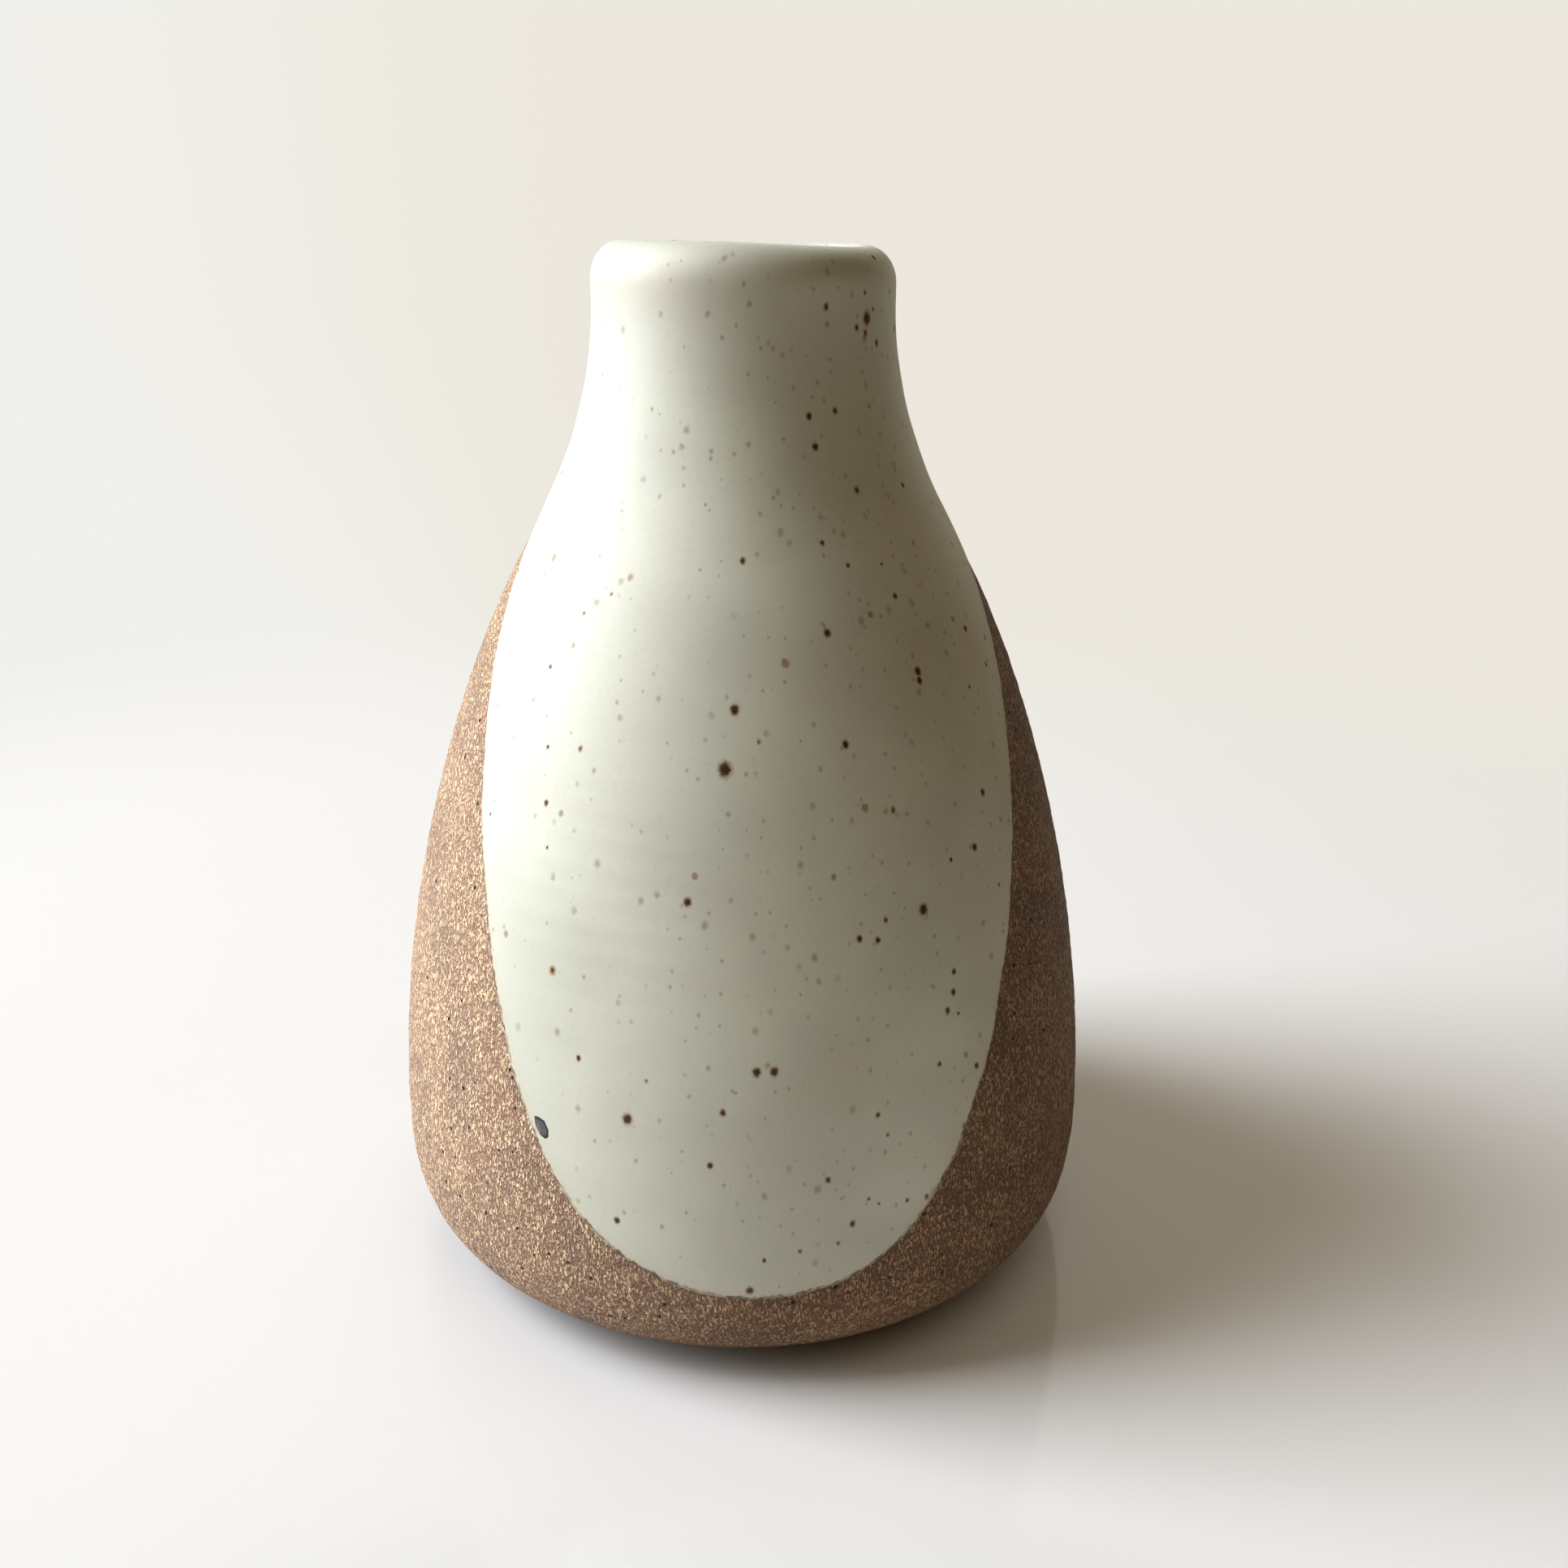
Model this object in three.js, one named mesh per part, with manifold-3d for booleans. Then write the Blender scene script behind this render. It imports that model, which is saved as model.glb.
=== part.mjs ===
// Ceramic bud vase: a wheel-thrown stoneware body, pear-shaped, with a short open neck.
// The vase was dipped twice in one pale satin glaze, leaning once forward and once back.
// So a coat of glaze covers the front and another the back. They meet round the neck, and a
// pointed arch of raw clay is left on each side. The inside is lined with the same glaze.
//
// Millimetres, +Z up. The origin is the centre of the flat foot, and the front faces -Y.

import * as THREE from "three";
import { mergeVertices } from "three/addons/utils/BufferGeometryUtils.js";
import Module from "manifold-3d";

// Driving dimensions.
const HEIGHT = 140; // with glaze on the lip
const GLAZE = 0.5; // thickness of every coat
const GAP = 0.05; // between the clay and a coat
const WALL = 5.5; // clay wall, from the belly to the neck
const FLOOR = 6.5; // clay floor

// Clay outline, as radius and height.
const FOOT_RADIUS = 36; // edge of the flat foot
const BEVEL = { radius: 44.5, z: 3.6 }; // top of the bevel that tucks in to the foot
const BELLY = { radius: 50.3, z: 18 }; // widest point
const SHOULDER = { radius: 28.6, z: 102.5, slope: 0.6 }; // steepest point; slope is inwards per mm up
const NECK = { radius: 19.3, z: 133 };

// The lip is a wide outer roll and a tight inner roll, each a quarter of an ellipse.
const CLAY_TOP = HEIGHT - GAP - GLAZE;
const OUTER_ROLL = { width: 3.7, height: 4.5 };
const INNER_ROLL = { width: WALL - OUTER_ROLL.width, height: 2.5 };
const MOUTH_RADIUS = NECK.radius - WALL;

// Inside corner between the floor and the wall.
const CORNER = { width: 14, height: BELLY.z - FLOOR };

// Side view of the raw clay arch, as half width and height. The low and high points pull its edge.
const ARCH_BASE = { half: 53, z: 12 };
const ARCH_LOW = { half: 40, z: 26 };
const ARCH_HIGH = { half: 36, z: 66 };
const ARCH_TIP_Z = 107;
const DIP_ROLL = THREE.MathUtils.degToRad(3.5); // the vase was held a little askew in the glaze

// Facets round the vase and steps along each curve of the outline.
const SEGMENTS = 40;
const STEPS = { heel: 3, belly: 8, shoulder: 5, roll: 3, corner: 4, arch: 10 };

const wasm = await Module();
wasm.setup();

// Outline curves, each drawn upwards or over the lip from the outside to the inside.
const heel = new THREE.CubicBezierCurve(
  new THREE.Vector2(BEVEL.radius, BEVEL.z),
  new THREE.Vector2(BEVEL.radius + 3, BEVEL.z + 1.4),
  new THREE.Vector2(BELLY.radius, BELLY.z / 2),
  new THREE.Vector2(BELLY.radius, BELLY.z),
);

const BELLY_REACH = 28;
const SHOULDER_REACH = 22;
const belly = new THREE.CubicBezierCurve(
  new THREE.Vector2(BELLY.radius, BELLY.z),
  new THREE.Vector2(BELLY.radius, BELLY.z + BELLY_REACH),
  new THREE.Vector2(SHOULDER.radius + SHOULDER.slope * SHOULDER_REACH, SHOULDER.z - SHOULDER_REACH),
  new THREE.Vector2(SHOULDER.radius, SHOULDER.z),
);

const NECK_REACH = 15;
const SHOULDER_TOP_REACH = 4;
const shoulder = new THREE.CubicBezierCurve(
  new THREE.Vector2(SHOULDER.radius, SHOULDER.z),
  new THREE.Vector2(
    SHOULDER.radius - SHOULDER.slope * SHOULDER_TOP_REACH,
    SHOULDER.z + SHOULDER_TOP_REACH,
  ),
  new THREE.Vector2(NECK.radius, NECK.z - NECK_REACH),
  new THREE.Vector2(NECK.radius, NECK.z),
);

const crest = NECK.radius - OUTER_ROLL.width; // radius of the highest ring of the lip
const outerRoll = new THREE.EllipseCurve(
  crest,
  CLAY_TOP - OUTER_ROLL.height,
  OUTER_ROLL.width,
  OUTER_ROLL.height,
  0,
  Math.PI / 2,
);
const innerRoll = new THREE.EllipseCurve(
  crest,
  CLAY_TOP - INNER_ROLL.height,
  INNER_ROLL.width,
  INNER_ROLL.height,
  Math.PI / 2,
  Math.PI,
);

const corner = new THREE.EllipseCurve(
  BELLY.radius - WALL - CORNER.width,
  BELLY.z,
  CORNER.width,
  CORNER.height,
  -Math.PI / 2,
  0,
);

// Points along a curve, each moved by an offset to the right of the way it is drawn.
function along(curve, steps, offset) {
  return Array.from({ length: steps + 1 }, (_, i) => {
    const tangent = curve.getTangent(i / steps);
    const right = new THREE.Vector2(tangent.y, -tangent.x);
    return curve.getPoint(i / steps).add(right.multiplyScalar(offset));
  });
}

// One outline from several stretches, without the points that two of them share.
function join(...stretches) {
  const near = 1e-3;
  return stretches.flat().filter((p, i, all) => i === 0 || p.distanceTo(all[i - 1]) > near);
}

// Outer side of the clay, moved outwards by an offset, from the bevel over the lip to the mouth.
function outside(offset) {
  return join(
    along(heel, STEPS.heel, offset),
    along(belly, STEPS.belly, offset),
    along(shoulder, STEPS.shoulder, offset),
    along(outerRoll, STEPS.roll, offset),
    along(innerRoll, STEPS.roll, offset),
  );
}

// Hollow of the clay, drawn in by a clearance, from the middle of the floor to the mouth.
function hollow(clearance) {
  const mouth = new THREE.Vector2(
    MOUTH_RADIUS - clearance,
    CLAY_TOP - INNER_ROLL.height - Math.min(clearance, GAP),
  );
  return join(
    [new THREE.Vector2(0, FLOOR + clearance)],
    along(corner, STEPS.corner, -clearance),
    along(belly, STEPS.belly, -WALL - clearance),
    along(shoulder, STEPS.shoulder, -WALL - clearance),
    [mouth],
  );
}

// Closed outline turned into a solid of revolution about Z.
function turned(outline) {
  return new THREE.LatheGeometry(outline, SEGMENTS).rotateX(Math.PI / 2);
}

// Solid for manifold-3d from a three.js geometry, and back again.
function solid(geometry) {
  const bare = geometry.clone();
  bare.deleteAttribute("normal");
  bare.deleteAttribute("uv");
  const merged = mergeVertices(bare, 1e-4);
  return new wasm.Manifold(
    new wasm.Mesh({
      numProp: 3,
      vertProperties: merged.getAttribute("position").array,
      triVerts: new Uint32Array(merged.index.array),
    }),
  );
}

function geometryOf(manifold) {
  const mesh = manifold.getMesh();
  const geometry = new THREE.BufferGeometry();
  geometry.setAttribute("position", new THREE.BufferAttribute(mesh.vertProperties, 3));
  geometry.setIndex(new THREE.BufferAttribute(mesh.triVerts, 1));
  geometry.computeVertexNormals();
  return geometry;
}

// Thrown clay body: foot, bevel, belly, neck, rolled lip and the hollow inside.
function stonewareBody() {
  const base = [new THREE.Vector2(0, 0), new THREE.Vector2(FOOT_RADIUS, 0)];
  return turned(join(base, outside(0), hollow(0).reverse()));
}

// Poured glaze on the floor and wall of the hollow, up to the mouth.
function glazeLining() {
  return turned(join(hollow(GAP), hollow(GAP + GLAZE).reverse()));
}

// Block through the vase from side to side, with the pointed arch of raw clay as its section.
function archBlock() {
  const depth = 3 * BELLY.radius;
  const below = -GLAZE;
  const arch = new THREE.Shape();
  arch.moveTo(-ARCH_BASE.half, below);
  arch.lineTo(ARCH_BASE.half, below);
  arch.lineTo(ARCH_BASE.half, ARCH_BASE.z);
  arch.bezierCurveTo(ARCH_LOW.half, ARCH_LOW.z, ARCH_HIGH.half, ARCH_HIGH.z, 0, ARCH_TIP_Z);
  arch.bezierCurveTo(
    -ARCH_HIGH.half,
    ARCH_HIGH.z,
    -ARCH_LOW.half,
    ARCH_LOW.z,
    -ARCH_BASE.half,
    ARCH_BASE.z,
  );
  arch.closePath();

  const block = new THREE.ExtrudeGeometry(arch, {
    depth,
    bevelEnabled: false,
    curveSegments: STEPS.arch,
  });
  const sectionAcrossX = new THREE.Matrix4().makeBasis(
    new THREE.Vector3(0, 1, 0),
    new THREE.Vector3(0, 0, 1),
    new THREE.Vector3(1, 0, 0),
  );
  return block
    .translate(0, 0, -depth / 2)
    .applyMatrix4(sectionAcrossX)
    .rotateY(DIP_ROLL);
}

// Dipped coat over one half of the outside; side is -1 for the front and +1 for the back.
function dippedCoat(side) {
  const skin = turned(join(outside(GAP + GLAZE), outside(GAP).reverse(), [outside(GAP + GLAZE)[0]]));
  const reach = 2 * HEIGHT;
  const half = new THREE.BoxGeometry(reach, reach, reach);
  half.translate(0, (side * (reach + GAP)) / 2, 0);
  return geometryOf(solid(skin).subtract(solid(archBlock())).intersect(solid(half)));
}

const clay = new THREE.MeshStandardMaterial({ color: 0x8c6b57, roughness: 0.9, metalness: 0 });
const glaze = new THREE.MeshStandardMaterial({ color: 0xdcdccb, roughness: 0.35, metalness: 0 });
const liningGlaze = new THREE.MeshStandardMaterial({ color: 0xd6d6c4, roughness: 0.3, metalness: 0 });

function piece(name, geometry, material) {
  const mesh = new THREE.Mesh(geometry, material);
  mesh.name = name;
  return mesh;
}

const vase = new THREE.Group();
vase.add(
  piece("stoneware_body", stonewareBody(), clay),
  piece("glaze_front", dippedCoat(-1), glaze),
  piece("glaze_back", dippedCoat(1), glaze),
  piece("glaze_lining", glazeLining(), liningGlaze),
);

export default vase;
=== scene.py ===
"""Looks of the ceramic bud vase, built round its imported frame.

Four pieces stand for the four CAD nodes: the raw clay body, the front and back coats of dipped
glaze with their soft uneven edge, and the poured lining. Lengths are millimetres in the shape
code, because that is how a potter measures, and every mesh is scaled to metres as it is made.
"""

import math

import bpy
import numpy as np
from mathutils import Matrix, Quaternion, Vector, noise


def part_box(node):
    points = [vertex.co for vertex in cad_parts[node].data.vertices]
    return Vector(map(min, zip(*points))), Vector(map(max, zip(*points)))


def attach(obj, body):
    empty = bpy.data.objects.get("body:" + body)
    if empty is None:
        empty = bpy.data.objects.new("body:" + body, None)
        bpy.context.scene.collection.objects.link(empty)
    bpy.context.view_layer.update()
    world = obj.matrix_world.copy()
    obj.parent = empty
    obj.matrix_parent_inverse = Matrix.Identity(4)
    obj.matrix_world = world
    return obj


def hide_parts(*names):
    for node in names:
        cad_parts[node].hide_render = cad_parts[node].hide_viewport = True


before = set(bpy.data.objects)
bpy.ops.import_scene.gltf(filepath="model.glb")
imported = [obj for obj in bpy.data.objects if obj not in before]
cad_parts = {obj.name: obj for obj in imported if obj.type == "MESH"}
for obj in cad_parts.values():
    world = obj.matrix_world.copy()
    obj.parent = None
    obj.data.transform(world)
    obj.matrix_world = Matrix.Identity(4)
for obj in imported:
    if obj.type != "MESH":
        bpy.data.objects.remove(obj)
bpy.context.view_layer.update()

MM = 0.001

# ---------------------------------------------------------------- sizes, in millimetres
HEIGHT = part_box("glaze_front")[1].z / MM
CLAY_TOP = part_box("stoneware_body")[1].z / MM
BELLY_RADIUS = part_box("stoneware_body")[1].x / MM
BELLY_Z = 18.0
FOOT_RADIUS = 36.0
FOOT_EDGE = 1.0  # rounding of the foot's edge
BEVEL = (44.5, 3.6)
SHOULDER = (28.6, 102.5)
SHOULDER_SLOPE = 0.6
NECK = (19.3, 133.0)
WALL = 5.5
FLOOR = 6.5
OUTER_ROLL = (3.7, 4.5)
INNER_ROLL = (WALL - OUTER_ROLL[0], 2.5)
CORNER_WIDTH = 14.0

# How far each curve of the outline runs straight on before it bends.
HEEL_PULL = (3.0, 1.4)
BELLY_REACH = 28.0
SHOULDER_REACH = 22.0
SHOULDER_TOP_REACH = 4.0
NECK_REACH = 15.0

# Side view of the raw clay arch between the two dips: half width and height.
ARCH_BASE = (53.0, 12.0)
ARCH_LOW = (40.0, 26.0)
ARCH_HIGH = (36.0, 66.0)
ARCH_TIP_Z = 107.0
DIP_LEAN = math.tan(math.radians(3.5))

GLAZE = 0.40
BEAD = 0.03  # extra thickness where the glaze drew back into a bead along its edge
BEAD_AT = 0.9  # distance of the bead from the edge
BEAD_WIDTH = 0.6
EDGE_ROUND = 1.1  # width over which the edge rises from the clay
EDGE_TUCK = 0.04  # the edge starts this far under the clay's surface
SEAT = 0.4  # the hidden inner skin of a coat lies this far inside the clay


# ---------------------------------------------------------------- outline of the clay
def bezier(p0, p1, p2, p3, count=160):
    t = np.linspace(0, 1, count)[:, None]
    p0, p1, p2, p3 = (np.array(p, float) for p in (p0, p1, p2, p3))
    return (1 - t) ** 3 * p0 + 3 * (1 - t) ** 2 * t * p1 + 3 * (1 - t) * t**2 * p2 + t**3 * p3


def ellipse(centre, radii, start, end, count=60):
    a = np.radians(np.linspace(start, end, count))
    return np.column_stack([centre[0] + radii[0] * np.cos(a), centre[1] + radii[1] * np.sin(a)])


def heel():
    return bezier(
        BEVEL,
        (BEVEL[0] + HEEL_PULL[0], BEVEL[1] + HEEL_PULL[1]),
        (BELLY_RADIUS, BELLY_Z / 2),
        (BELLY_RADIUS, BELLY_Z),
    )


def belly():
    return bezier(
        (BELLY_RADIUS, BELLY_Z),
        (BELLY_RADIUS, BELLY_Z + BELLY_REACH),
        (SHOULDER[0] + SHOULDER_SLOPE * SHOULDER_REACH, SHOULDER[1] - SHOULDER_REACH),
        SHOULDER,
    )


def shoulder():
    return bezier(
        SHOULDER,
        (SHOULDER[0] - SHOULDER_SLOPE * SHOULDER_TOP_REACH, SHOULDER[1] + SHOULDER_TOP_REACH),
        (NECK[0], NECK[1] - NECK_REACH),
        NECK,
    )


def lip():
    crest = NECK[0] - OUTER_ROLL[0]
    outer = ellipse((crest, CLAY_TOP - OUTER_ROLL[1]), OUTER_ROLL, 0, 90)
    inner = ellipse((crest, CLAY_TOP - INNER_ROLL[1]), INNER_ROLL, 90, 180)
    return np.vstack([outer, inner[1:]])


class Track:
    """A line in the plane of radius and height, read by the length run along it."""

    def __init__(self, *stretches):
        points = np.vstack(stretches)
        keep = np.append(True, np.hypot(*np.diff(points, axis=0).T) > 1e-6)
        self.points = points[keep]
        self.at = np.append(0, np.cumsum(np.hypot(*np.diff(self.points, axis=0).T)))
        along = np.gradient(self.points, self.at, axis=0)
        along /= np.linalg.norm(along, axis=1)[:, None]
        self.normals = np.column_stack([along[:, 1], -along[:, 0]])
        self.length = self.at[-1]

    def read(self, s):
        """Radius, height and the outward normal's two parts at lengths s."""
        columns = (*self.points.T, *self.normals.T)
        return [np.interp(s, self.at, c) for c in columns]

    def offset(self, distance):
        return self.points + self.normals * distance

    def length_at_z(self, z):
        return float(np.interp(z, self.points[:, 1], self.at))


OUTSIDE = Track(heel(), belly(), shoulder(), lip())
WALL_LINE = Track(belly(), shoulder())


def hollow(clearance):
    """Hollow of the clay drawn in by a clearance, from the mouth down to the middle of the floor."""
    wall = WALL_LINE.offset(-WALL - clearance)[::-1]
    corner_centre = (BELLY_RADIUS - WALL - CORNER_WIDTH, BELLY_Z)
    radii = (CORNER_WIDTH - clearance, BELLY_Z - FLOOR - clearance)
    corner = ellipse(corner_centre, radii, 0, -90)
    return np.vstack([wall, corner, [(0, FLOOR + clearance)]])


# ---------------------------------------------------------------- hand-made unevenness
def rings(azimuth, z):
    """Low spiral ridges left by the fingers, in mm, the same for clay and glaze."""
    turn = azimuth / (2 * math.pi)
    coarse = np.sin(2 * math.pi * (z / 9.5 + turn)) * (0.6 + 0.4 * np.sin(z / 17))
    fine = np.sin(2 * math.pi * (z / 3.4 + turn)) * (0.5 + 0.5 * np.sin(z / 11 + 2))
    below_lip = np.clip((132 - z) / 14, 0, 1)
    return below_lip * (0.035 * coarse + 0.010 * fine)


def wobble(azimuth, z):
    """Slow out-of-round swell of the wall, in mm."""
    return 0.14 * np.sin(2 * azimuth + z / 40) + 0.07 * np.sin(3 * azimuth - z / 25 + 1)


def rim_lift(azimuth, z):
    """The lip, in mm, isn't quite level: it is highest at the front left and lowest behind."""
    share = np.clip((z - 120) / 20, 0, 1) ** 2
    return share * (-0.35 + 0.28 * np.cos(azimuth + 0.85) + 0.03 * np.sin(3 * azimuth + 0.6))


def place(azimuth, r, z):
    """Points in metres from an azimuth in radians, 0 at the front and growing to the right."""
    z = z + rim_lift(azimuth, z)
    return np.stack([r * np.sin(azimuth), -r * np.cos(azimuth), z], axis=-1) * MM


# ---------------------------------------------------------------- mesh helpers
def grid_faces(rows, columns, closed):
    """Quads of a grid whose rows run round the vase; closed joins the last column to the first."""
    wide = columns if closed else columns - 1
    i, j = np.meshgrid(np.arange(rows - 1), np.arange(wide), indexing="ij")
    k = (j + 1) % columns
    corners = [i * columns + j, i * columns + k, (i + 1) * columns + k, (i + 1) * columns + j]
    return np.stack(corners, axis=-1).reshape(-1, 4).tolist()


def add_piece(name, points, faces, node, material):
    mesh = bpy.data.meshes.new(name)
    mesh.from_pydata(points.tolist(), [], faces)
    mesh.shade_smooth()
    mesh.materials.append(material)
    mesh.validate()
    piece = bpy.data.objects.new(name, mesh)
    bpy.context.scene.collection.objects.link(piece)
    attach(piece, "root")
    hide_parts(node)
    return piece


def spaced(start, end, step):
    return np.linspace(start, end, max(2, int(round(abs(end - start) / step)) + 1))[:-1]


# ---------------------------------------------------------------- clay body
CLAY_COLUMNS = 330
GRIT = 0.03  # roughness of the raw surface in the mesh itself, in mm
MIDDLE = 4.0  # the grid stops this far from the axis, and one fan of faces closes it


def clay_body(material):
    base = [(0, 0), (FOOT_RADIUS - FOOT_EDGE, 0)]
    edge = ellipse((FOOT_RADIUS - FOOT_EDGE, FOOT_EDGE), (FOOT_EDGE, FOOT_EDGE), -90, -20, 12)
    line = Track(base, edge, OUTSIDE.points, hollow(0))
    raw_from = FOOT_RADIUS - 2 * FOOT_EDGE
    outer = line.at[len(base) + len(edge) - 1]
    raw_to = outer + OUTSIDE.length_at_z(ARCH_TIP_Z + 4)
    lip_end = outer + OUTSIDE.length
    s = np.concatenate([
        spaced(MIDDLE, raw_from, 2.5),
        spaced(raw_from, outer + 2, 0.35),
        spaced(outer + 2, raw_to, 0.7),
        spaced(raw_to, lip_end, 1.5),
        spaced(lip_end, line.length - MIDDLE, 3.0),
    ])
    r, z, nr, nz = (c[:, None] for c in line.read(s))
    azimuth = np.linspace(0, 2 * math.pi, CLAY_COLUMNS, endpoint=False)[None, :]
    on_outside = ((s > outer) & (s < lip_end))[:, None]
    raw = ((s > outer) & (s < raw_to))[:, None]
    random = np.random.default_rng(11)
    push = on_outside * (rings(azimuth, z) + wobble(azimuth, z))
    push = push + raw * GRIT * random.standard_normal((len(s), CLAY_COLUMNS))
    points = place(azimuth, r + nr * push, z + nz * push).reshape(-1, 3)
    faces = grid_faces(len(s), CLAY_COLUMNS, closed=True)
    last = len(s) * CLAY_COLUMNS
    points = np.vstack([points, [(0, 0, 0)], [(0, 0, FLOOR * MM)]])
    for j in range(CLAY_COLUMNS):
        k = (j + 1) % CLAY_COLUMNS
        faces.append((last, k, j))
        faces.append((last + 1, last - CLAY_COLUMNS + j, last - CLAY_COLUMNS + k))
    return add_piece("clay_body", points, faces, "stoneware_body", material)


# ---------------------------------------------------------------- glaze coats
COAT_COLUMNS = 520
SIDE_BLEND = 0.08  # share of the columns at each side that turn to run straight up the seam


def arch_half(z):
    """Half width of the raw clay arch at a height, seen from the side."""
    half, height = bezier(ARCH_BASE, ARCH_LOW, ARCH_HIGH, (0, ARCH_TIP_Z), 400).T
    return np.interp(z, height, half, left=2 * ARCH_BASE[0], right=0)


def dip_line():
    """Edge of a dipped coat as azimuth and length along the outside, one row per column."""
    s = np.linspace(0, OUTSIDE.length_at_z(ARCH_TIP_Z + 6), 1500)
    r, z, _, _ = OUTSIDE.read(s)
    azimuth = np.radians(np.concatenate([
        np.linspace(-90, -84, 60, endpoint=False),
        np.linspace(-84, 84, 700),
        np.linspace(90, 84, 60, endpoint=False)[::-1],
    ]))
    edge = []
    for a in azimuth:
        inside_arch = r * np.cos(a) < arch_half(z + DIP_LEAN * r * np.sin(a))
        edge.append((a, s[np.flatnonzero(inside_arch)[-1]]))
    edge = np.array(edge)
    mean_r = np.interp(edge[:, 1], s, r)
    steps = np.hypot(np.diff(edge[:, 0]) * mean_r[1:], np.diff(edge[:, 1]))
    run = np.append(0, np.cumsum(steps))
    even = np.linspace(0, run[-1], COAT_COLUMNS)
    smooth = np.column_stack([np.interp(even, run, edge[:, 0]), np.interp(even, run, edge[:, 1])])
    return smooth, even


def scallops(run, seed):
    """Small in and out of the glaze edge, in mm, none of it at the two ends."""
    values = [
        0.16 * noise.noise((x / 2.6, seed, 0)) + 0.26 * noise.noise((x / 9.0, 0, seed))
        + 0.5 * noise.noise((x / 40.0, seed, seed))
        for x in run
    ]
    fade = np.clip(np.minimum(run, run[-1] - run) / 12, 0, 1)
    return np.array(values) * fade


def coat_grid(seed):
    """Azimuth, length along the outside and distance from the edge, for rows and columns of a coat."""
    edge, run = dip_line()
    r = OUTSIDE.read(edge[:, 1])[0]
    share = run / run[-1]
    tangent = np.column_stack([np.gradient(edge[:, 0], run) * r, np.gradient(edge[:, 1], run)])
    inward = np.column_stack([-tangent[:, 1], tangent[:, 0]])
    upwards = 1 - np.clip(np.minimum(share, 1 - share) / SIDE_BLEND, 0, 1)[:, None]
    inward = inward * (1 - upwards) + np.array([[0, 1]]) * upwards
    inward /= np.linalg.norm(inward, axis=1)[:, None]
    sideways, along = inward[:, 0] / r, inward[:, 1]

    # Beside the edge the rows keep their distance from it.
    shift = scallops(run, seed)
    rim = np.column_stack([edge[:, 0] + shift * sideways, edge[:, 1] + shift * along])
    azimuth, length, away = [], [], []
    for d in NEAR_ROWS:
        step = d + shift * (1 - d / NEAR_ROWS[-1])
        azimuth.append(edge[:, 0] + step * sideways)
        length.append(edge[:, 1] + step * along)
        away.append(distance_from(rim, azimuth[-1], length[-1]))

    # Further in the columns share out the width of the coat at each height.
    start = np.column_stack([azimuth[-1], length[-1]])
    lowest = int(np.argmin(start[:, 1]))
    left, right = start[lowest::-1], start[lowest:]
    for t in np.linspace(0, 1, COAT_ROWS)[1:]:
        s = start[:, 1] + t * (COAT_END - start[:, 1])
        ends = []
        for side, shares in ((left, share[lowest::-1]), (right, share[lowest:])):
            ends.append((np.interp(s, side[:, 1], side[:, 0]), np.interp(s, side[:, 1], shares)))
        (phi_l, share_l), (phi_r, share_r) = ends
        part = (share - share_l) / np.maximum(share_r - share_l, 1e-9)
        azimuth.append(phi_l + (phi_r - phi_l) * part)
        length.append(s)
        away.append(NEAR_ROWS[-1] + t * (COAT_END - start[:, 1]))
    return np.array(azimuth), np.array(length), np.array(away)


def distance_from(line, azimuth, length):
    """Distance in mm, along the surface, of points from the nearest point of a line."""
    r = OUTSIDE.read(length)[0]
    across = (azimuth[:, None] - line[None, :, 0]) * r[:, None]
    up = length[:, None] - line[None, :, 1]
    return np.hypot(across, up).min(axis=1)


MOUTH_SKIN = 0.1  # coats and lining thin out to this where they overlap inside the mouth
MOUTH_BLEND = 1.5  # length over which the coats thin out there
NEAR_ROWS = np.array([0, 0.05, 0.12, 0.2, 0.3, 0.42, 0.55, 0.7, 0.9, 1.15, 1.5, 2.0, 2.7, 3.6])
COAT_ROWS = 130
INNER_EVERY = 12  # the hidden inner skin has one row for this many outer ones
COAT_END = OUTSIDE.length + 1.6  # the coat runs a little way down inside the mouth
COAT_SKIN = Track(OUTSIDE.points, [(NECK[0] - WALL, CLAY_TOP - INNER_ROLL[1] - 3.0)])


def coat_thickness(away, length):
    rise = 1 - (1 - np.clip(away / EDGE_ROUND, 0, 1)) ** 2
    bead = BEAD * np.exp(-(((away - BEAD_AT) / BEAD_WIDTH) ** 2))
    end = np.clip((COAT_END - length) / MOUTH_BLEND, 0, 1)
    return (GLAZE * rise + bead * rise) * end + MOUTH_SKIN * (1 - end) - EDGE_TUCK * (1 - rise)


def coat_points(azimuth, length, thickness):
    r, z, nr, nz = COAT_SKIN.read(length)
    push = thickness + rings(azimuth, z) + wobble(azimuth, z)
    return place(azimuth, r + nr * push, z + nz * push)


def smooth_normals(points):
    """Unit normals of a grid of points, from the steps to its neighbours."""
    across = np.gradient(points, axis=1)
    up = np.gradient(points, axis=0)
    normals = np.cross(across, up)
    return normals / np.linalg.norm(normals, axis=2)[..., None]


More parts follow.
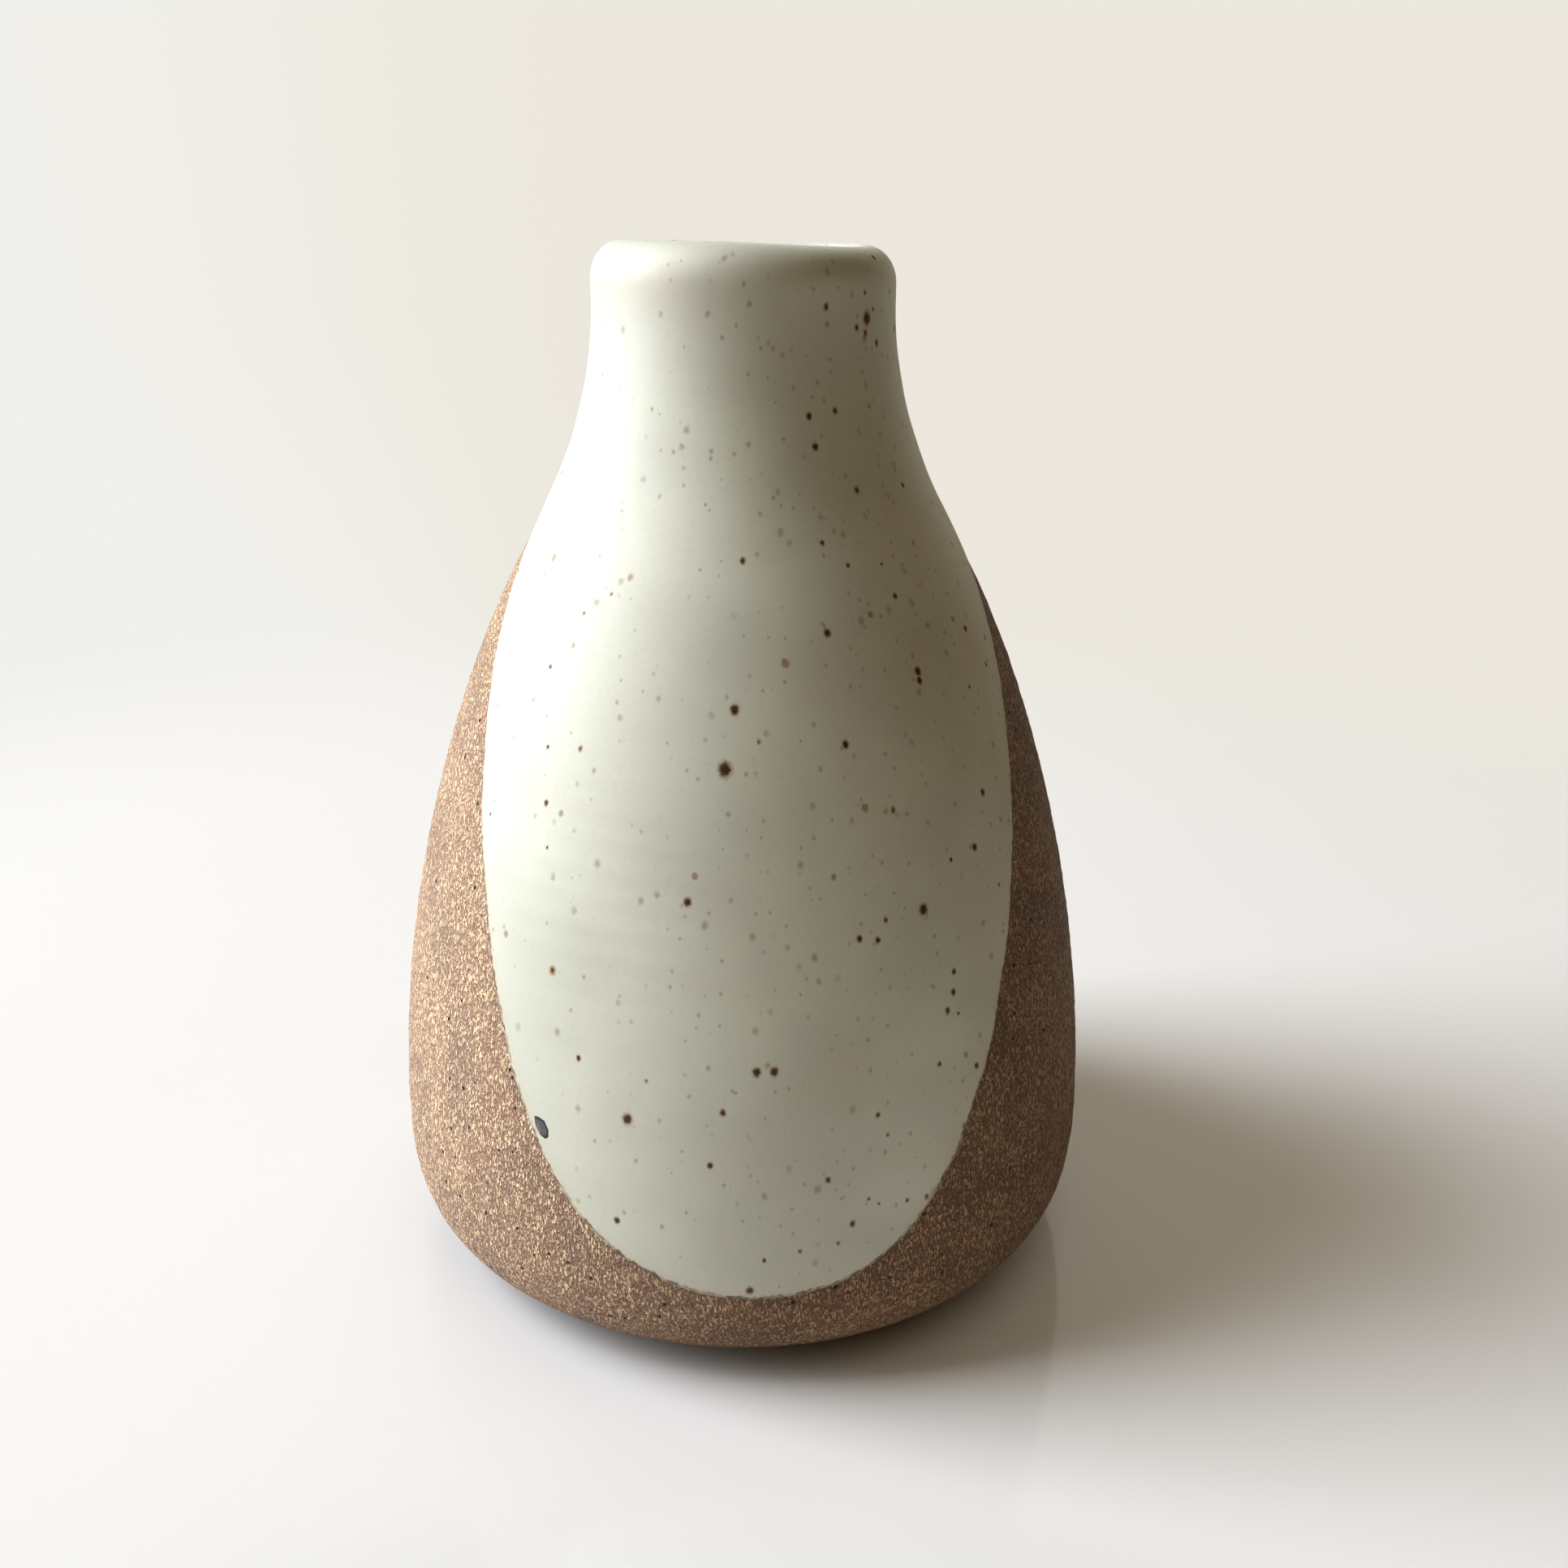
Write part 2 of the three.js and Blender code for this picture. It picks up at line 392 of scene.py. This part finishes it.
def glaze_coat(name, node, facing, seed, material):
    """facing is 1 for the front coat and -1 for the back coat, which is turned about face."""
    azimuth, length, away = coat_grid(seed)
    if facing < 0:
        azimuth = math.pi - azimuth
    rows, columns = azimuth.shape
    outer = coat_points(azimuth, length, coat_thickness(away, length))
    kept = np.unique(np.append(np.arange(0, rows - 1, INNER_EVERY), rows - 1))
    inner = coat_points(azimuth[kept], length[kept], np.full((len(kept), columns), -SEAT))
    points = np.vstack([outer.reshape(-1, 3), inner.reshape(-1, 3)])
    base = rows * columns

    faces = grid_faces(rows, columns, closed=False)
    inner_faces = grid_faces(len(kept), columns, closed=False)
    faces += [tuple(base + v for v in reversed(q)) for q in inner_faces]
    last_outer = (rows - 1) * columns
    last_inner = base + (len(kept) - 1) * columns
    for j in range(columns - 1):
        faces.append((j + 1, j, base + j, base + j + 1))
        faces.append((last_outer + j, last_outer + j + 1, last_inner + j + 1, last_inner + j))
    for n in range(len(kept) - 1):
        low, high = kept[n], kept[n + 1]
        left = [row * columns for row in range(low, high + 1)]
        faces.append(tuple(left + [base + (n + 1) * columns, base + n * columns]))
        right = [v + columns - 1 for v in left]
        ends = [base + (n + 2) * columns - 1, base + (n + 1) * columns - 1]
        faces.append(tuple(reversed(right + ends)))
    if facing < 0:
        faces = [tuple(reversed(f)) for f in faces]
    piece = add_piece(name, points, faces, node, material)

    normals = smooth_normals(outer) * facing
    for column in (0, -1):
        normals[:, column, 1] = 0  # the two coats meet here without a crease
        normals[:, column] /= np.linalg.norm(normals[:, column], axis=1)[:, None]
    inside = np.array([v.normal for v in piece.data.vertices[base:]])
    piece.data.normals_split_custom_set_from_vertices(
        np.vstack([normals.reshape(-1, 3), inside]).tolist()
    )
    distance = piece.data.attributes.new("edge_mm", "FLOAT", "POINT")
    values = np.append(away.ravel(), np.zeros(len(inside)))
    distance.data.foreach_set("value", values.astype(np.float32))
    return piece


# ---------------------------------------------------------------- lining
LINING_COLUMNS = 240
LINING_SKIN = 0.45
LINING_TOP = 136.4
LINING_FULL = 134.4  # below this height the lining has its full thickness
LINING_SEAT = 0.15  # its hidden outer skin lies this far inside the clay
LINING_MIDDLE = 3.0  # its grid stops this far from the axis, and one face closes it
LINING_RINGS = 2.0  # the rings show this much more than outside


def glaze_lining(material):
    mouth = NECK[0] - WALL
    top = [(mouth - MOUTH_SKIN, LINING_TOP), (mouth - LINING_SKIN, LINING_FULL)]
    inner = Track(top, hollow(LINING_SKIN))
    outer = Track([(mouth + LINING_SEAT, LINING_TOP)], hollow(-LINING_SEAT))
    s = np.concatenate([
        spaced(0, 6, 0.25),
        spaced(6, 60, 0.8),
        spaced(60, inner.length - LINING_MIDDLE, 2.0),
    ])
    azimuth = np.linspace(0, 2 * math.pi, LINING_COLUMNS, endpoint=False)[None, :]
    points = []
    for line, uneven in ((outer, 0), (inner, 1)):
        r, z, nr, nz = (c[:, None] for c in line.read(s * line.length / inner.length))
        push = uneven * LINING_RINGS * rings(azimuth + 1, z)
        points.append(place(azimuth, r + nr * push, z + nz * push))
    rows = len(s)
    shell = np.vstack([points[0][::-1].reshape(-1, 3), points[1].reshape(-1, 3)])
    faces = [tuple(reversed(f)) for f in grid_faces(2 * rows, LINING_COLUMNS, closed=True)]
    first, last = 0, (2 * rows - 1) * LINING_COLUMNS
    faces.append(tuple(first + j for j in range(LINING_COLUMNS)))
    faces.append(tuple(last + j for j in reversed(range(LINING_COLUMNS))))
    return add_piece("lining", shell, faces, "glaze_lining", material)


# ---------------------------------------------------------------- materials
class Nodes:
    """Short calls that build one material's node tree."""

    def __init__(self, name):
        self.material = bpy.data.materials.new(name)
        self.material.use_nodes = True
        self.tree = self.material.node_tree
        self.shader = self.tree.nodes["Principled BSDF"]

    def put(self, socket, value):
        if isinstance(value, bpy.types.NodeSocket):
            self.tree.links.new(value, socket)
        elif value is not None:
            socket.default_value = value

    def node(self, kind, inputs=None, **settings):
        made = self.tree.nodes.new("ShaderNode" + kind)
        for key, value in settings.items():
            setattr(made, key, value)
        for key, value in (inputs or {}).items():
            self.put(made.inputs[key], value)
        return made

    def math(self, operation, a, b=None, c=None, clamp=False):
        inputs = {i: v for i, v in enumerate((a, b, c)) if v is not None}
        return self.node("Math", inputs, operation=operation, use_clamp=clamp).outputs[0]

    def vector(self, operation, a, b):
        made = self.node("VectorMath", {0: a, 1: b}, operation=operation)
        return made.outputs["Value" if operation == "DISTANCE" else "Vector"]

    def step(self, value, low, high, to_low=0.0, to_high=1.0):
        """Smooth step from to_low at low to to_high at high."""
        inputs = {"Value": value, "From Min": low, "From Max": high}
        inputs.update({"To Min": to_low, "To Max": to_high})
        return self.node("MapRange", inputs, interpolation_type="SMOOTHSTEP").outputs["Result"]

    def mix(self, factor, a, b, blend="MIX"):
        made = self.node("Mix", {0: factor, 6: a, 7: b}, data_type="RGBA", blend_type=blend)
        return made.outputs[2]

    def noise(self, vector, scale, detail=2.0, roughness=0.5):
        inputs = {"Vector": vector, "Scale": scale, "Detail": detail, "Roughness": roughness}
        return self.node("TexNoise", inputs).outputs["Fac"]

    def voronoi(self, vector, scale):
        return self.node("TexVoronoi", {"Vector": vector, "Scale": scale})

    def millimetres(self):
        """Place on the object, in millimetres."""
        place = self.node("TexCoord").outputs["Object"]
        made = self.node("VectorMath", {0: place, "Scale": 1 / MM}, operation="SCALE")
        return made.outputs["Vector"]

    def set(self, **sockets):
        for key, value in sockets.items():
            self.put(self.shader.inputs[key.replace("_", " ")], value)


def srgb(r, g, b):
    """Linear colour from the 0 to 255 values of a colour picker."""
    values = [c / 255 for c in (r, g, b)]
    return (*[c / 12.92 if c <= 0.04045 else ((c + 0.055) / 1.055) ** 2.4 for c in values], 1.0)


def clay_material():
    n = Nodes("raw_stoneware")
    at = n.millimetres()
    height = n.node("SeparateXYZ", {0: at}).outputs["Z"]

    # Fired clay, from red brown to greyer sponged patches.
    patch = n.step(n.noise(at, 0.10, 3.0), 0.40, 0.66)
    clay = n.mix(patch, srgb(144, 110, 88), srgb(128, 101, 84))
    fine = n.noise(at, 2.4, 3.0, 0.65)
    clay = n.mix(n.step(fine, 0.35, 0.7), clay, srgb(110, 80, 63))

    # Light sand, in short upright strokes where the trimming tool dragged the grains.
    drift = n.node("TexNoise", {"Vector": at, "Scale": 1.1, "Detail": 2.0}).outputs["Color"]
    bent = n.node("VectorMath", {0: drift, 1: (0.6, 0.6, 0.6), 2: at}, operation="MULTIPLY_ADD")
    upright = n.vector("MULTIPLY", bent.outputs["Vector"], (1.0, 1.0, 0.33))
    # Band round the foot: the sand thins out there, and lower down the colour is darkened as painted
    # shade.
    foot_band_and_shade = n.step(height, 7.0, 2.0)
    sand = None
    for width, seed in ((0.31, 0.0), (0.19, 40.0)):
        moved = n.vector("ADD", upright, (seed, seed, seed))
        grains = n.voronoi(moved, 1 / width)
        chance = n.node("SeparateColor", {0: grains.outputs["Color"]}).outputs[0]
        fewer = n.math("MULTIPLY_ADD", patch, -0.14, n.math("MULTIPLY", foot_band_and_shade, -0.5))
        shown = n.step(n.math("ADD", chance, fewer), 0.36, 0.74)
        layer = n.math("MULTIPLY", n.step(grains.outputs["Distance"], 0.62, 0.40), shown)
        sand = layer if sand is None else n.math("MAXIMUM", sand, layer)
    tint = n.node("SeparateColor", {0: n.voronoi(at, 1.7).outputs["Color"]}).outputs[0]
    sand_colour = n.mix(tint, srgb(230, 198, 158), srgb(200, 164, 124))
    colour = n.mix(n.math("MULTIPLY", sand, 0.78), clay, sand_colour)

    # Pits and burnt-out specks.
    pits = n.voronoi(at, 0.42)
    chance = n.node("SeparateColor", {0: pits.outputs["Color"]}).outputs[0]
    chosen = n.math("GREATER_THAN", chance, 0.6)
    pit = n.math("MULTIPLY", n.step(pits.outputs["Distance"], 0.15, 0.08), chosen)
    colour = n.mix(pit, colour, srgb(52, 40, 38))
    # Darker towards the foot: painted shade on the heel, which curves down and under towards the table.
    colour = n.mix(n.math("MULTIPLY", foot_band_and_shade, 0.6), colour, srgb(84, 65, 55))

    relief = n.math("MULTIPLY_ADD", sand, 0.7, n.math("MULTIPLY", fine, 0.5))
    relief = n.math("MULTIPLY_ADD", pit, -1.2, relief)
    bump = n.node("Bump", {"Height": relief, "Distance": 0.5 * MM, "Strength": 1.0})
    n.set(Base_Color=colour, Roughness=n.step(sand, 0, 1, 0.8, 0.6), Normal=bump.outputs["Normal"])
    n.set(Specular_IOR_Level=0.4)
    return n.material


def on_coat(angle, z):
    """Place on the outside: degrees to the right of the front, and height in mm."""
    r = float(np.interp(z, OUTSIDE.points[:, 1], OUTSIDE.points[:, 0])) + GLAZE
    a = math.radians(angle)
    return (r * math.sin(a), -r * math.cos(a), z)


# Iron specks that a buyer would know this vase by: angle, height and radius.
IRON_SPECKS = [
    (-3, 81.5, 0.8),
    (-1.5, 88, 0.55),
    (18, 96, 0.45),
    (37.5, 90.5, 0.5),
    (29.5, 63.5, 0.6),
    (-8.5, 66.5, 0.48),
    (-16.5, 39.5, 0.62),
    (2, 46.5, 0.5),
    (4.5, 46.5, 0.5),
    (1, 17, 0.5),
    (51, 131, 0.75),
    (45, 130, 0.42),
    (50, 129.3, 0.42),
    (57, 128, 0.42),
    (55, 132, 0.3),
    (49.5, 134, 0.3),
    (30.5, 132.5, 0.4),
    (22, 120, 0.4),
    (32, 120.5, 0.4),
    (23, 116.5, 0.42),
    (18, 61.5, 0.38),
    (21, 61, 0.36),
    (34, 55, 0.36),
    (33.5, 52.5, 0.38),
    (37, 42, 0.4),
    (-24.5, 46, 0.32),
    (-18, 25.5, 0.42),
    (-4.5, 34.5, 0.36),
    (12, 32, 0.38),
    (19.5, 39.5, 0.36),
    (57, 93.5, 0.4),
    (-33, 138.4, 0.3),
    (-30, 56, 0.3),
    (30, 44, 0.3),
    (18, 28.5, 0.3),
    (19.5, 27.5, 0.25),
    (24, 27, 0.3),
    (8, 22.5, 0.28),
    (13.5, 23, 0.3),
    (3, 21.5, 0.28),
]

# Specks that stayed under the glaze and show as soft ochre ovals.
OCHRE_SPECKS = [
    (8.5, 93, 0.6),
    (-54, 102, 0.62),
    (-27, 101.5, 0.55),
    (-32, 74.5, 0.45),
    (-30, 56, 0.62),
    (-40, 58.5, 0.45),
    (-7.5, 69.5, 0.45),
    (29, 97.5, 0.45),
    (14.5, 69, 0.4),
    (35, 44, 0.45),
    (-7, 138.6, 0.7),
    (31, 130.5, 0.4),
]

SLAG = (-30.5, 35.5)  # one angular blue-grey stone sits in the glaze low on the left
# Its eight sides: the way each faces, in degrees from the right, and its distance from the middle.
SLAG_SIDES = (
    (3, 1.15),
    (32, 1.0),
    (74, 1.2),
    (100, 1.5),
    (193, 0.85),
    (217, 0.7),
    (246, 0.95),
    (310, 1.5),
)


def hand_placed(n, at, specks):
    """Distance from the nearest listed speck, in its own radii; specks are a little taller than wide."""
    squat = (1.0, 1.0, 0.8)
    flat = n.vector("MULTIPLY", at, squat)
    nearest = None
    for angle, z, radius in specks:
        centre = tuple(c * k for c, k in zip(on_coat(angle, z), squat))
        away = n.math("DIVIDE", n.vector("DISTANCE", flat, centre), radius)
        nearest = away if nearest is None else n.math("MINIMUM", nearest, away)
    return nearest


FAR_AWAY = 100.0  # added to a distance to leave a speck out


def scattered(n, at, cell, radius, share, side_bias):
    """Distance from random specks in their own radii; side_bias makes them commoner to the right."""
    cells = n.voronoi(at, 1 / cell)
    chance = n.node("SeparateColor", {0: cells.outputs["Color"]})
    across = n.node("SeparateXYZ", {0: at}).outputs["X"]
    limit = n.step(across, -30, 30, share * (1 - side_bias), share * (1 + side_bias))
    kept = n.math("LESS_THAN", chance.outputs[0], limit)
    smallest, spread = 0.45 * radius / cell, 0.7 * radius / cell
    size = n.math("MULTIPLY_ADD", chance.outputs[1], spread, smallest)
    away = n.math("DIVIDE", cells.outputs["Distance"], size)
    return n.math("ADD", away, n.math("MULTIPLY", n.math("SUBTRACT", 1.0, kept), FAR_AWAY))


def slag_stone(n, at):
    """How far a point is from the middle of the angular stone, 1 on its outline."""
    centre = Vector(on_coat(*SLAG))
    right = Vector((-centre.y, centre.x, 0)).normalized()
    offset = n.vector("SUBTRACT", at, tuple(centre))
    outline = None
    for lean, reach in SLAG_SIDES:
        a = math.radians(lean)
        facing = right * math.cos(a) + Vector((0, 0, math.sin(a)))
        dot = n.node("VectorMath", {0: offset, 1: tuple(facing)}, operation="DOT_PRODUCT")
        side = n.math("DIVIDE", dot.outputs["Value"], reach)
        outline = side if outline is None else n.math("MAXIMUM", outline, side)
    length = n.node("VectorMath", {0: offset}, operation="LENGTH").outputs["Value"]
    near = n.math("LESS_THAN", length, 3.0)
    return n.math("ADD", outline, n.math("MULTIPLY", n.math("SUBTRACT", 1.0, near), FAR_AWAY))


def glaze_material(name, edge):
    n = Nodes(name)
    at = n.millimetres()

    # Satin white that breaks slowly between cream, cool grey and a breath of pink.
    cool = n.step(n.noise(at, 0.045, 2.0), 0.35, 0.65)
    body = n.mix(cool, srgb(222, 224, 211), srgb(212, 214, 202))
    pink = n.step(n.noise(at, 0.07, 2.0), 0.52, 0.75)
    body = n.mix(n.math("MULTIPLY", pink, 0.4), body, srgb(216, 207, 196))
    grain = n.noise(at, 1.6, 3.0, 0.6)
    body = n.mix(n.math("MULTIPLY", n.step(grain, 0.45, 0.8), 0.22), body, srgb(198, 198, 186))

    # Specks drowned in the glaze, grey-green and faint.
    tall = n.vector("MULTIPLY", at, (1.0, 1.0, 0.75))
    ragged = n.math("MULTIPLY_ADD", n.noise(at, 2.2, 2.0), 0.9, -0.45)
    for cell, radius, share in ((2.6, 0.55, 0.68), (1.5, 0.34, 0.6)):
        sunk = n.math("ADD", scattered(n, tall, cell, radius, share, 0.6), ragged)
        body = n.mix(n.math("MULTIPLY", n.step(sunk, 1.1, 0.1), 0.5), body, srgb(124, 117, 78))

    # Ochre ones, nearer the surface.
    loose = scattered(n, tall, 4.2, 0.5, 0.42, 0.8)
    ochre = n.math("MINIMUM", hand_placed(n, at, OCHRE_SPECKS), loose)
    ochre = n.math("ADD", ochre, n.math("MULTIPLY", ragged, 0.7))
    body = n.mix(n.math("MULTIPLY", n.step(ochre, 1.15, 0.45), 0.72), body, srgb(156, 120, 74))

    # Iron that melted through to the surface, dark with a thin amber ring.
    small = scattered(n, tall, 4.0, 0.37, 0.5, 0.8)
    iron = n.math("MINIMUM", small, hand_placed(n, at, IRON_SPECKS))
    iron = n.math("ADD", iron, n.math("MULTIPLY", ragged, 0.8))
    body = n.mix(n.math("MULTIPLY", n.step(iron, 1.5, 0.9), 0.55), body, srgb(168, 130, 76))
    core = n.step(iron, 1.05, 0.6)
    body = n.mix(n.math("MULTIPLY", core, 0.96), body, srgb(98, 70, 44))
    body = n.mix(n.step(iron, 0.7, 0.3), body, srgb(70, 52, 40))

    stone = slag_stone(n, at)
    body = n.mix(n.step(stone, 1.02, 0.92), body, srgb(44, 38, 36))
    body = n.mix(n.step(stone, 0.85, 0.6), body, srgb(94, 95, 102))
    roughness = n.math("MULTIPLY_ADD", n.noise(at, 0.3, 2.0), 0.10, 0.50)

    if edge:
        away = n.node("Attribute", attribute_name="edge_mm").outputs["Fac"]
        ripple = n.math("MULTIPLY_ADD", n.noise(at, 1.5, 3.0), 0.9, -0.45)
        away = n.math("ADD", away, ripple)
        thin = n.step(away, 2.0, 0.7)
        body = n.mix(n.math("MULTIPLY", thin, 0.4), body, srgb(214, 200, 166))
        dots = n.math("ADD", scattered(n, at, 1.7, 0.34, 0.5, 0.0), n.math("MULTIPLY", away, 0.9))
        body = n.mix(n.step(dots, 1.5, 1.0), body, srgb(104, 78, 58))
        # Dark broken line along the glaze edge: partly iron gathered at the edge, partly painted shade
        # where the thick edge of the glaze stands over the clay.
        broken = n.step(n.noise(at, 0.7, 3.0), 0.38, 0.62, 0.35, 0.95)
        line = n.math("MULTIPLY", n.step(away, 1.0, 0.55), broken)
        body = n.mix(line, body, srgb(84, 62, 44))

    relief = n.math("MULTIPLY_ADD", core, -0.5, n.math("MULTIPLY", n.noise(at, 0.9, 3.0), 0.35))
    bump = n.node("Bump", {"Height": relief, "Distance": 0.06 * MM, "Strength": 0.7})
    n.set(Base_Color=body, Roughness=roughness, Normal=bump.outputs["Normal"])
    return n.material


# ---------------------------------------------------------------- stage
TABLE_RADIUS = 280.0
FADE = (180.0, 400.0)  # between these distances the table turns into the backdrop
WALL_RADIUS = 4000.0
SWEEP = 1500.0


def stage_material():
    """Glossy white table that turns, further out, into an evenly lit backdrop."""
    n = Nodes("white_studio")
    at = n.millimetres()
    reach = n.node("VectorMath", {0: at}, operation="LENGTH").outputs["Value"]
    across = n.math("DIVIDE", n.node("SeparateXYZ", {0: at}).outputs["X"], reach)
    warm = n.step(across, -0.45, -0.1)
    paper = n.mix(warm, srgb(242, 241, 237), srgb(238, 234, 224))
    n.set(Base_Color=srgb(225, 226, 228), Roughness=0.1)
    glow = n.node("Emission", {"Color": paper, "Strength": 1.0})
    far = n.step(reach, *FADE)
    blend = n.node("MixShader", {0: far, 1: n.shader.outputs[0], 2: glow.outputs[0]})
    n.tree.links.new(blend.outputs[0], n.tree.nodes["Material Output"].inputs["Surface"])
    return n.material


def turned_stage(name, line, material):
    columns = 128
    azimuth = np.linspace(0, 2 * math.pi, columns, endpoint=False)[None, :]
    r, z = (np.array(line)[:, i][:, None] for i in (0, 1))
    points = np.stack([r * np.sin(azimuth), -r * np.cos(azimuth), z + 0 * azimuth], axis=-1) * MM
    mesh = bpy.data.meshes.new(name)
    mesh.from_pydata(points.reshape(-1, 3).tolist(), [], grid_faces(len(line), columns, closed=True))
    mesh.shade_smooth()
    mesh.materials.append(material)
    piece = bpy.data.objects.new(name, mesh)
    bpy.context.scene.collection.objects.link(piece)
    return piece


def build_stage():
    material = stage_material()
    table = turned_stage("table", [(0.01, 0), (TABLE_RADIUS, 0)], material)
    sweep = ellipse((WALL_RADIUS - SWEEP, SWEEP), (SWEEP, SWEEP), -90, 0, 24)
    line = np.vstack([[(TABLE_RADIUS, 0), (TABLE_RADIUS + 200, 0)], sweep, [(WALL_RADIUS, 4000)]])
    backdrop = turned_stage("backdrop", line, material)
    backdrop.visible_diffuse = False
    backdrop.visible_shadow = False
    lit = bpy.data.collections.new("lit_by_backdrop")
    lit.objects.link(table)
    lit.objects.link(backdrop)
    backdrop.light_linking.receiver_collection = lit
    return [table, backdrop]


LAMP_DISTANCE = 2500.0
WINDOW = {
    "azimuth": -93,
    "elevation": 31,
    "size": (1450, 2600),
    "power": 132,
    "colour": (0.97, 1.0, 1.04),
}


def area_light(name, azimuth, elevation, size, power, colour, distance=LAMP_DISTANCE):
    """Soft lamp aimed at the vase; azimuth is 0 in front and 90 at the right; sizes in mm."""
    data = bpy.data.lights.new(name, "AREA")
    data.shape = "RECTANGLE"
    data.size, data.size_y = (side * MM for side in size)
    data.energy = power
    data.color = colour
    a, e = math.radians(azimuth), math.radians(elevation)
    away = Vector((math.sin(a) * math.cos(e), -math.cos(a) * math.cos(e), math.sin(e)))
    lamp = bpy.data.objects.new(name, data)
    lamp.location = (away * distance + Vector((0, 0, HEIGHT / 2))) * MM
    lamp.rotation_mode = "QUATERNION"
    lamp.rotation_quaternion = away.to_track_quat("Z", "Y")
    lamp.visible_camera = False
    lamp.visible_glossy = False
    bpy.context.scene.collection.objects.link(lamp)
    return lamp


def light_only(name, lamp, pieces):
    """Keep a lamp's light to some pieces."""
    lit = bpy.data.collections.new(name)
    for piece in pieces:
        lit.objects.link(piece)
    lamp.light_linking.receiver_collection = lit


def build_lights(vase, stage):
    """Window at the left, light off a wall behind, soft fill from above and a dim warm room.

    The window and wall shine only in the vase, not in the glossy table.
    """
    area_light("window", **WINDOW)
    gloss = area_light("window_gloss", **WINDOW)
    gloss.visible_glossy = True
    gloss.visible_diffuse = False
    light_only("lit_by_window_gloss", gloss, vase)
    raw = area_light("window_on_clay", **{**WINDOW, "power": 165, "colour": (0.75, 1.0, 1.27)})
    light_only("lit_by_window_on_clay", raw, vase[:1])
    area_light("wall", 167, 24, (3000, 1600), 12, (1.0, 0.93, 0.80))
    wall_gloss = area_light("wall_gloss", 157, 18, (3000, 2200), 22, (1.0, 0.97, 0.90))
    wall_gloss.visible_glossy = True
    wall_gloss.visible_diffuse = False
    light_only("lit_by_wall_gloss", wall_gloss, vase)
    high = area_light("high", -33, 50, (300, 300), 0.085, (1.0, 0.96, 0.85), distance=450)
    light_only("lit_by_high", high, vase)
    fill = area_light("table_fill", 62, 65, (2500, 2500), 13, (1.0, 0.94, 0.84))
    light_only("lit_by_table_fill", fill, stage)
    world = bpy.data.worlds.new("room")
    world.use_nodes = True
    background = world.node_tree.nodes["Background"]
    background.inputs["Color"].default_value = (1.0, 0.62, 0.13, 1)
    background.inputs["Strength"].default_value = 0.12
    bpy.context.scene.world = world


# ---------------------------------------------------------------- camera
CAMERA_DISTANCE = 1.501 * HEIGHT
CAMERA_HEIGHT = 1.012 * HEIGHT
CAMERA_SIDE = math.radians(-0.2)  # how far left of the front the camera stands
CAMERA_YAW = math.radians(1.58)
CAMERA_PITCH = math.radians(19.88)
CAMERA_ROLL = math.radians(0.5)


def build_camera():
    data = bpy.data.cameras.new("camera")
    data.lens = 35.5
    data.clip_start = 0.01
    data.clip_end = 10
    camera = bpy.data.objects.new("camera", data)
    stand = Vector((-math.sin(CAMERA_SIDE), -math.cos(CAMERA_SIDE), 0)) * CAMERA_DISTANCE
    camera.location = (stand + Vector((0, 0, CAMERA_HEIGHT))) * MM
    heading = CAMERA_SIDE + CAMERA_YAW
    level = math.cos(CAMERA_PITCH)
    look = Vector((math.sin(heading) * level, math.cos(heading) * level, -math.sin(CAMERA_PITCH)))
    camera.rotation_mode = "QUATERNION"
    camera.rotation_quaternion = look.to_track_quat("-Z", "Y") @ Quaternion((0, 0, 1), CAMERA_ROLL)
    bpy.context.scene.collection.objects.link(camera)
    bpy.context.scene.camera = camera


# ---------------------------------------------------------------- build
build_camera()
stage = build_stage()
satin = glaze_material("satin_glaze", edge=True)
vase = [
    clay_body(clay_material()),
    glaze_coat("front_coat", "glaze_front", 1, 3.7, satin),
    glaze_coat("back_coat", "glaze_back", -1, 8.2, satin),
    glaze_lining(glaze_material("lining_glaze", edge=False)),
]
build_lights(vase, stage)
bpy.context.scene.view_settings.view_transform = "Standard"
bpy.context.scene.view_settings.gamma = 0.9  # shadows a little deeper than the plain curve
